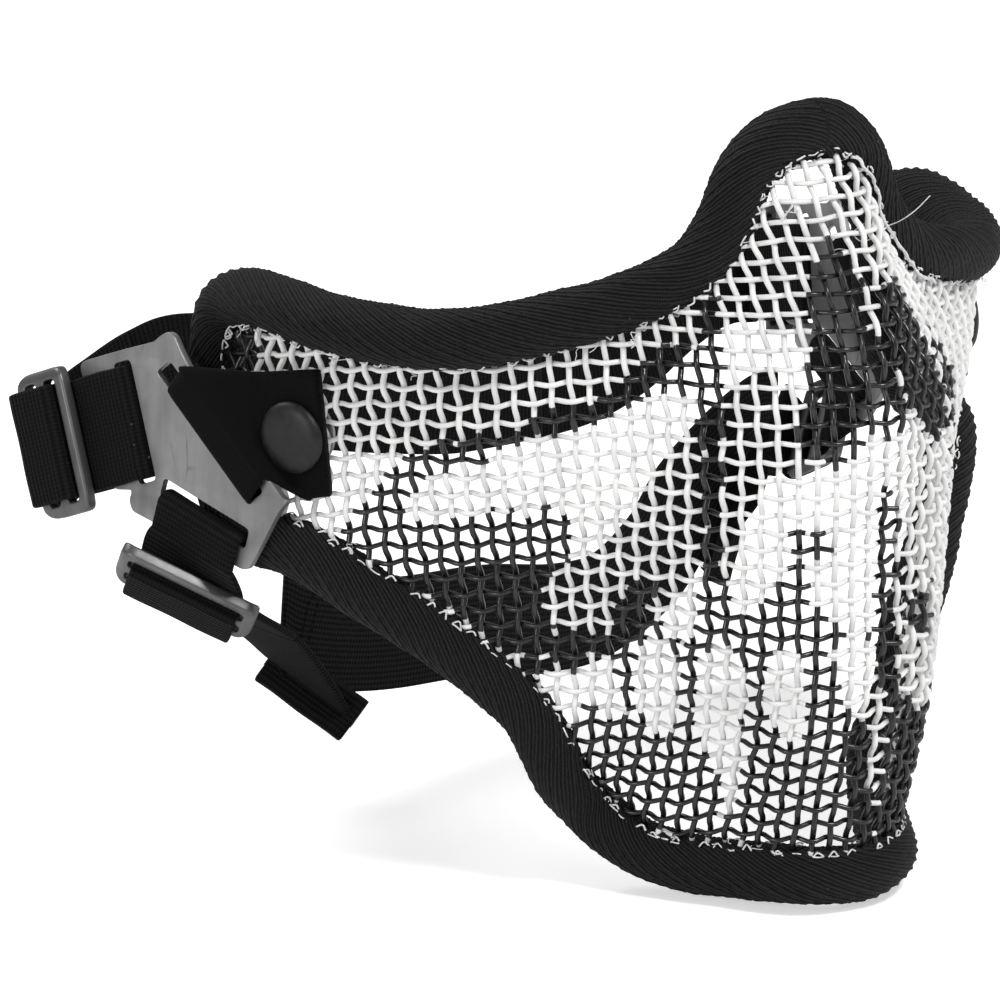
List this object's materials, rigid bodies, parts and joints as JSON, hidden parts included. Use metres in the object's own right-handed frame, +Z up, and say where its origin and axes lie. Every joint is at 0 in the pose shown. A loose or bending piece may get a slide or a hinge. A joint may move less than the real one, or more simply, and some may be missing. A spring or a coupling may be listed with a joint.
{
  "type": "mesh half-face mask",
  "caption": "Padded wire-mesh mask for the lower face with riveted webbing tabs, slotted side plates and adjustable head straps.",
  "frame": {"origin": "midway between the bases of the two snap fasteners on the mesh wings", "axes": "+Z up the face, the wearer looks along -Y, +X is the wearer's left"},
  "size_m": [0.1812, 0.1526, 0.1322],
  "materials": {
    "mesh_paint": "gloss white and black spray-painted steel wire",
    "foam": "matt foam",
    "edge_cloth": "matt black twill",
    "thread": "pale cotton thread",
    "webbing": "matt black ribbed elastic webbing",
    "tab_webbing": "matt black loop webbing",
    "snap_black": "satin black",
    "snap_steel": "satin",
    "hardware_steel": "brushed gunmetal grey"
  },
  "bodies": {
    "root": {"mesh_shell": "mesh_paint", "edge_foam_core": "foam", "edge_binding": "edge_cloth", "edge_stitching": "thread", "upper_strap": "webbing", "lower_strap": "webbing", "right_lower_strap_tail": "webbing", "left_lower_strap_tail": "webbing"},
    "right_tab": {"right_tab": "tab_webbing", "right_snap_cap": "snap_black", "right_snap_post": "snap_steel", "right_snap_washer": "snap_steel"},
    "right_plate": {"right_plate": "hardware_steel", "right_upper_strap_loop": "webbing", "right_lower_strap_loop": "webbing"},
    "right_upper_slider": {"right_upper_slider": "hardware_steel", "right_upper_strap_fold": "webbing"},
    "right_lower_slider": {"right_lower_slider": "hardware_steel", "right_lower_strap_fold": "webbing"},
    "left_tab": {"left_tab": "tab_webbing", "left_snap_cap": "snap_black", "left_snap_post": "snap_steel", "left_snap_washer": "snap_steel"},
    "left_plate": {"left_plate": "hardware_steel", "left_upper_strap_loop": "webbing", "left_lower_strap_loop": "webbing"},
    "left_upper_slider": {"left_upper_slider": "hardware_steel", "left_upper_strap_fold": "webbing"},
    "left_lower_slider": {"left_lower_slider": "hardware_steel", "left_lower_strap_fold": "webbing"}
  },
  "joints": [
    {"name": "right_tab_swivel", "type": "hinge", "parent": "root", "child": "right_tab", "pos_m": [-0.0669, -0.00054, 0.00013], "axis": [-0.9246, -0.381, -0.0047], "range_deg": [-6, 6], "deforming": ["upper_strap", "lower_strap", "right_lower_strap_tail", "right_tab", "edge_binding", "edge_foam_core", "edge_stitching"]},
    {"name": "right_plate_hinge", "type": "hinge", "parent": "right_tab", "child": "right_plate", "pos_m": [-0.07529, 0.01112, 0.00125], "axis": [-0.1409, 0.7634, 0.6303], "range_deg": [0, 25], "deforming": ["upper_strap", "lower_strap", "right_lower_strap_tail", "right_tab"]},
    {"name": "right_upper_slider_adjust", "type": "slide", "parent": "right_plate", "child": "right_upper_slider", "axis": [-0.2711, 0.8999, -0.3416], "range_m": [-0.003, 0.006], "deforming": ["upper_strap", "right_upper_strap_loop"]},
    {"name": "right_lower_slider_adjust", "type": "slide", "parent": "right_plate", "child": "right_lower_slider", "axis": [0.2401, 0.7461, -0.621], "range_m": [-0.002, 0.005], "deforming": ["right_lower_strap_tail", "right_lower_strap_loop"]},
    {"name": "left_tab_swivel", "type": "hinge", "parent": "root", "child": "left_tab", "pos_m": [0.0669, -0.00054, 0.00013], "axis": [0.9246, -0.381, -0.0047], "range_deg": [-6, 6], "deforming": ["upper_strap", "lower_strap", "left_lower_strap_tail", "left_tab", "edge_binding", "edge_foam_core", "edge_stitching"]},
    {"name": "left_plate_hinge", "type": "hinge", "parent": "left_tab", "child": "left_plate", "pos_m": [0.07631, 0.03662, -0.00227], "axis": [-0.1275, -0.6644, -0.7364], "range_deg": [0, 25], "deforming": ["upper_strap", "lower_strap", "left_lower_strap_tail", "left_tab"]},
    {"name": "left_upper_slider_adjust", "type": "slide", "parent": "left_plate", "child": "left_upper_slider", "axis": [0.098, 0.9742, -0.2035], "range_m": [-0.003, 0.006], "deforming": ["upper_strap", "left_upper_strap_loop"]},
    {"name": "left_lower_slider_adjust", "type": "slide", "parent": "left_plate", "child": "left_lower_slider", "axis": [-0.4229, 0.7903, -0.4434], "range_m": [-0.002, 0.005], "deforming": ["left_lower_strap_tail", "left_lower_strap_loop"]}
  ]
}
